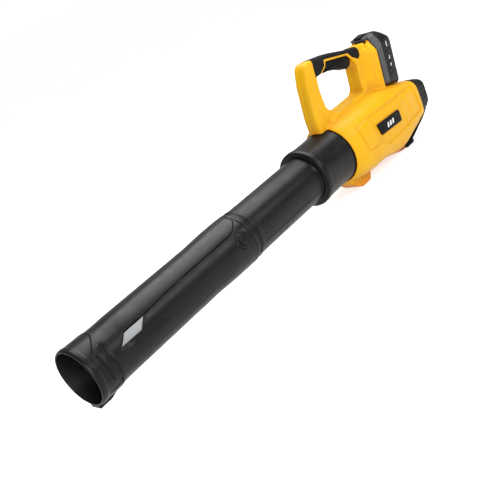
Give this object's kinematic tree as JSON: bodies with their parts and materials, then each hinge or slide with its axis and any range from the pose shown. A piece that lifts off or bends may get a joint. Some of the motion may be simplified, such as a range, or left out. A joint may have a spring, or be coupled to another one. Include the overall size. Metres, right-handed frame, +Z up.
{
  "type": "leaf blower",
  "caption": "Cordless axial leaf blower with a two-part tube, closed-loop handle with trigger, rear intake grille and slide-on battery pack.",
  "frame": {"origin": "middle of the bounding box's lower face, level with the foot and the rear of the body", "axes": "-X along the duct out of the nozzle, -Y to the user's left, +Z up"},
  "size_m": [0.957, 0.137, 0.2681],
  "materials": {
    "yellow_shell": "satin moulded plastic, yellow-orange",
    "black_shell": "satin black moulded plastic",
    "soft_grip": "matt black overmoulded rubber",
    "grey_inlay": "light grey moulded plastic",
    "dark_plastic": "dark grey glass-filled nylon",
    "steel": "plain steel",
    "copper": "copper windings and contacts",
    "alloy": "machined aluminium",
    "cell_wrap": "shrink-wrapped lithium cell, aluminium density standing in for a cell's",
    "board": "green circuit board with potting",
    "wire_red": "red silicone insulation",
    "wire_black": "black silicone insulation"
  },
  "bodies": {
    "housing": {"housing_left": "yellow_shell", "housing_right": "yellow_shell", "grip_left": "soft_grip", "grip_right": "soft_grip", "upper_tube": "black_shell", "outlet_collar": "black_shell", "intake_grille": "black_shell", "badge_left": "black_shell", "badge_right": "black_shell", "fan_duct": "dark_plastic", "hub_cone": "dark_plastic", "trigger_switch": "dark_plastic", "terminal_block": "dark_plastic", "housing_screw_1": "steel", "housing_screw_2": "steel", "housing_screw_3": "steel", "housing_screw_4": "steel", "housing_screw_5": "steel", "front_bearing": "steel", "rear_bearing": "steel", "trigger_pin": "steel", "trigger_spring": "steel", "motor_stator": "copper", "terminal_blade_left": "copper", "terminal_blade_right": "copper", "motor_front_plate": "alloy", "motor_end_cap": "alloy", "controller_module": "board", "lead_positive": "wire_red", "lead_negative": "wire_black", "motor_lead": "wire_black"},
    "nozzle": {"nozzle_tube": "black_shell", "nozzle_inlay_left": "grey_inlay", "nozzle_inlay_right": "grey_inlay"},
    "nozzle_button": {"nozzle_button": "dark_plastic"},
    "rotor": {"motor_rotor": "steel", "motor_shaft": "steel", "fan_impeller": "black_shell", "fan_nut": "steel"},
    "trigger": {"trigger": "black_shell"},
    "battery": {"battery_rail_shell": "black_shell", "battery_outer_shell": "dark_plastic", "battery_board": "board", "charge_window": "grey_inlay", "latch_spring": "steel", "battery_cell_1": "cell_wrap", "battery_cell_2": "cell_wrap", "battery_cell_3": "cell_wrap", "battery_cell_4": "cell_wrap", "battery_cell_5": "cell_wrap"},
    "battery_latch": {"battery_latch": "black_shell"},
    "charge_button": {"charge_button": "dark_plastic"}
  },
  "joints": [
    {"name": "nozzle_slide", "type": "slide", "parent": "housing", "child": "nozzle", "axis": [-1, 0, 0], "range_m": [0, 0.064]},
    {"name": "nozzle_button_press", "type": "slide", "parent": "nozzle", "child": "nozzle_button", "axis": [0, 0.9613, -0.2756], "range_m": [0, 0.0015], "stiffness_N_per_m": 1500, "springref_m": -0.001},
    {"name": "fan_spin", "type": "hinge", "parent": "housing", "child": "rotor", "pos_m": [0.3215, 0, 0.087], "axis": [1, 0, 0], "continuous": true},
    {"name": "trigger_pull", "type": "hinge", "parent": "housing", "child": "trigger", "pos_m": [0.3305, 0, 0.2295], "axis": [0, 1, 0], "range_deg": [0, 4.1], "stiffness_Nm_per_rad": 4, "springref_deg": -3.44},
    {"name": "battery_slide", "type": "slide", "parent": "housing", "child": "battery", "axis": [0.1822, 0, 0.9833], "range_m": [0, 0.13]},
    {"name": "battery_latch_press", "type": "slide", "parent": "battery", "child": "battery_latch", "axis": [0.9833, 0, -0.1822], "range_m": [0, 0.003], "stiffness_N_per_m": 1500, "springref_m": -0.001},
    {"name": "charge_button_press", "type": "slide", "parent": "battery", "child": "charge_button", "axis": [-0.9833, 0, 0.1822], "range_m": [0, 0.001], "stiffness_N_per_m": 1500, "springref_m": -0.001}
  ]
}
